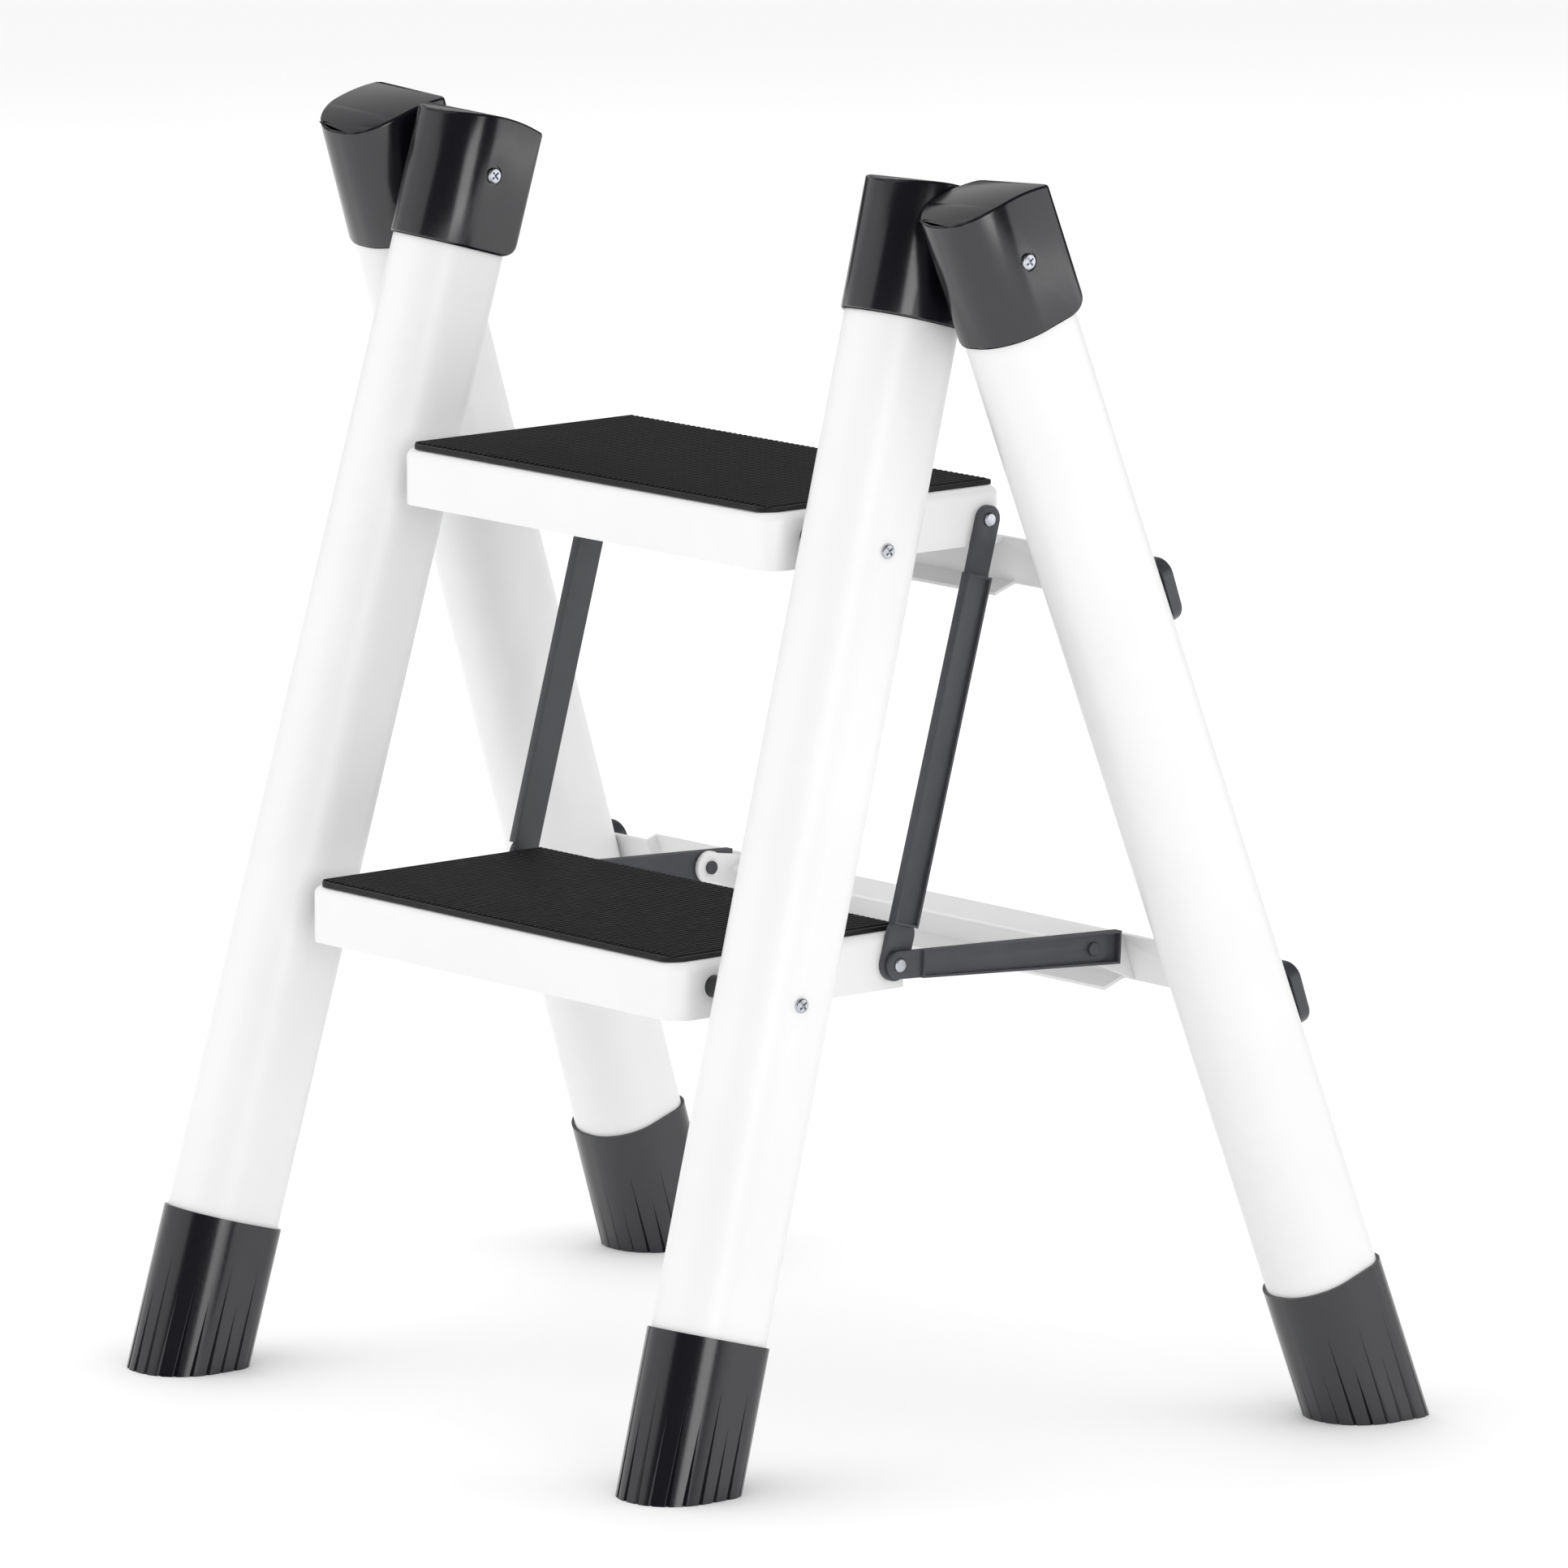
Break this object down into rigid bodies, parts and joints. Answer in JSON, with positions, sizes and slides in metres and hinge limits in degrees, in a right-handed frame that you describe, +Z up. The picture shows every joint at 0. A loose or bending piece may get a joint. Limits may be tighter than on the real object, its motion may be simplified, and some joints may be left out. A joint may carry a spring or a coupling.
{
  "type": "step stool",
  "caption": "Folding two-step stool: hinged tubular legs with moulded caps and feet, and two matted treads that tip up with the fold.",
  "frame": {"origin": "on the floor, at the middle of the footprint", "axes": "+Z up, the steps face -Y, the width runs along X"},
  "size_m": [0.6478, 0.467, 0.679],
  "materials": {
    "leg_paint": "white satin powder coat on steel tube",
    "tray_paint": "white satin powder coat on pressed steel",
    "link_paint": "dark grey powder coat on flat steel bar",
    "cap_plastic": "charcoal semi-gloss moulded polypropylene",
    "foot_plastic": "charcoal semi-gloss moulded polypropylene, fluted",
    "cover_plastic": "charcoal moulded plastic",
    "bush_plastic": "dark nylon",
    "mat_rubber": "black ribbed rubber",
    "zinc_steel": "bright zinc plated steel"
  },
  "bodies": {
    "front_frame": {"front_leg_left": "leg_paint", "front_leg_right": "leg_paint", "front_cap_left": "cap_plastic", "front_cap_right": "cap_plastic", "front_foot_left": "foot_plastic", "front_foot_right": "foot_plastic", "hinge_barrels": "zinc_steel", "hinge_screws": "zinc_steel", "hinge_washers": "bush_plastic", "upper_pivot_screws": "zinc_steel", "upper_pivot_spacers": "bush_plastic", "upper_pivot_nuts": "zinc_steel", "lower_pivot_screws": "zinc_steel", "lower_pivot_spacers": "bush_plastic", "lower_pivot_nuts": "zinc_steel"},
    "rear_frame": {"rear_leg_left": "leg_paint", "rear_leg_right": "leg_paint", "rear_cap_left": "cap_plastic", "rear_cap_right": "cap_plastic", "rear_foot_left": "foot_plastic", "rear_foot_right": "foot_plastic", "upper_crossbar": "tray_paint", "lower_crossbar": "tray_paint", "crossbar_bolts": "zinc_steel", "crossbar_nuts": "zinc_steel", "crossbar_covers": "cover_plastic", "link_lug_left": "tray_paint", "link_lug_right": "tray_paint", "lug_rivets": "link_paint"},
    "upper_tread": {"upper_tread_tray": "tray_paint", "upper_tread_mat": "mat_rubber", "upper_link_rivets": "zinc_steel"},
    "lower_tread": {"lower_tread_tray": "tray_paint", "lower_tread_mat": "mat_rubber", "lower_link_rivets": "zinc_steel"},
    "lift_link_left": {"lift_link_left": "link_paint"},
    "lift_link_right": {"lift_link_right": "link_paint"},
    "spread_link_left": {"spread_link_left": "link_paint", "spread_rivet_left": "zinc_steel"},
    "spread_link_right": {"spread_link_right": "link_paint", "spread_rivet_right": "zinc_steel"}
  },
  "joints": [
    {"name": "fold", "type": "hinge", "parent": "front_frame", "child": "rear_frame", "pos_m": [0, -0.02333, 0.6405], "axis": [-1, 0, 0], "range_deg": [0, 29]},
    {"name": "upper_tread_tilt", "type": "hinge", "parent": "front_frame", "child": "upper_tread", "pos_m": [0, -0.06689, 0.4855], "axis": [1, 0, 0], "range_deg": [0, 57]},
    {"name": "lower_tread_tilt", "type": "hinge", "parent": "front_frame", "child": "lower_tread", "pos_m": [0, -0.13208, 0.2536], "axis": [1, 0, 0], "range_deg": [0, 57]},
    {"name": "lift_link_left_swing", "type": "hinge", "parent": "upper_tread", "child": "lift_link_left", "pos_m": [0, 0.05611, 0.4825], "axis": [-1, 0, 0], "range_deg": [0, 57]},
    {"name": "spread_link_left_swing", "type": "hinge", "parent": "rear_frame", "child": "spread_link_left", "pos_m": [0, 0.12757, 0.243], "axis": [-1, 0, 0], "range_deg": [0, 67.5]},
    {"name": "lift_link_right_swing", "type": "hinge", "parent": "upper_tread", "child": "lift_link_right", "pos_m": [0, 0.05611, 0.4825], "axis": [-1, 0, 0], "range_deg": [0, 57]},
    {"name": "spread_link_right_swing", "type": "hinge", "parent": "rear_frame", "child": "spread_link_right", "pos_m": [0, 0.12757, 0.243], "axis": [-1, 0, 0], "range_deg": [0, 67.5]}
  ],
  "couplings": [
    {"joint": "upper_tread_tilt", "follows": "fold", "ratio": 1.9553},
    {"joint": "lower_tread_tilt", "follows": "fold", "ratio": 1.9553},
    {"joint": "lift_link_left_swing", "follows": "fold", "ratio": 1.9553},
    {"joint": "spread_link_left_swing", "follows": "fold", "ratio": 2.3128},
    {"joint": "lift_link_right_swing", "follows": "fold", "ratio": 1.9553},
    {"joint": "spread_link_right_swing", "follows": "fold", "ratio": 2.3128}
  ]
}
